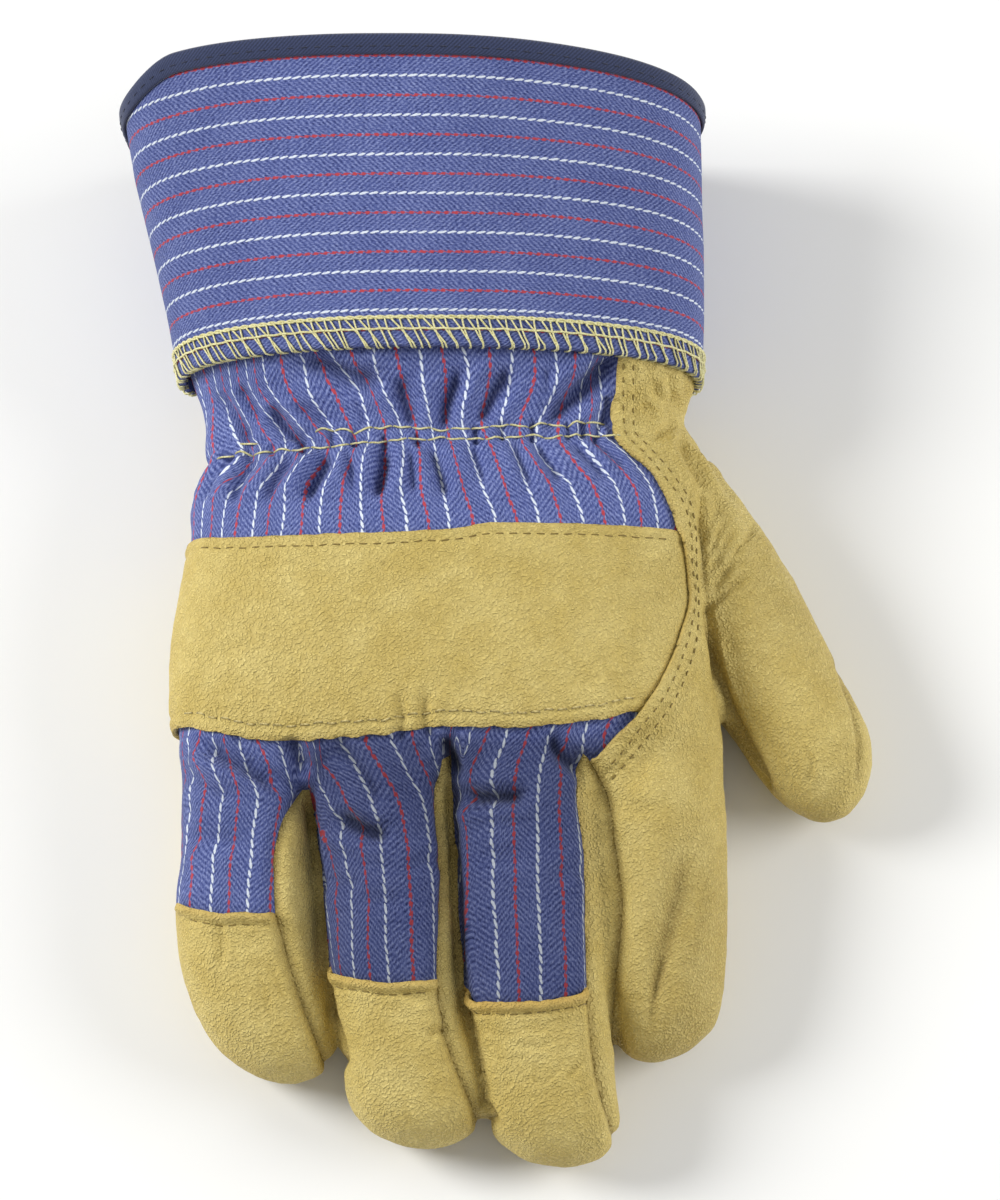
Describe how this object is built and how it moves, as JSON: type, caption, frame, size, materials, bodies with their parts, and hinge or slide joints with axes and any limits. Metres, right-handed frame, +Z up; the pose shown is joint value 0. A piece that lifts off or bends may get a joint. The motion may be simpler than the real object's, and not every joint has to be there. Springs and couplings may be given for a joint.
{
  "type": "leather palm work glove",
  "caption": "Right-hand work glove with a leather palm, striped cloth back, leather knuckle strap and fingertips, gathered wrist and a stiff flared safety cuff.",
  "frame": {"origin": "centre of the box round the glove, on the surface that it rests on", "axes": "+Z up, the glove lies palm down; -Y along the fingers, +Y towards the cuff; +X towards the thumb"},
  "size_m": [0.182, 0.261, 0.0761],
  "materials": {
    "pigskin": "matt grain pigskin",
    "striped_cloth": "blue herringbone twill with white and red stripes",
    "binding_tape": "navy woven tape"
  },
  "bodies": {
    "root": {"cuff": "striped_cloth", "cuff_binding": "binding_tape", "back_cloth": "striped_cloth", "knuckle_strap": "pigskin", "palm": "pigskin", "thumb": "pigskin", "little_tip": "pigskin", "ring_tip": "pigskin", "middle_tip": "pigskin", "gusset_little_ring": "pigskin", "gusset_ring_middle": "pigskin", "gusset_middle_index": "pigskin"}
  },
  "joints": []
}
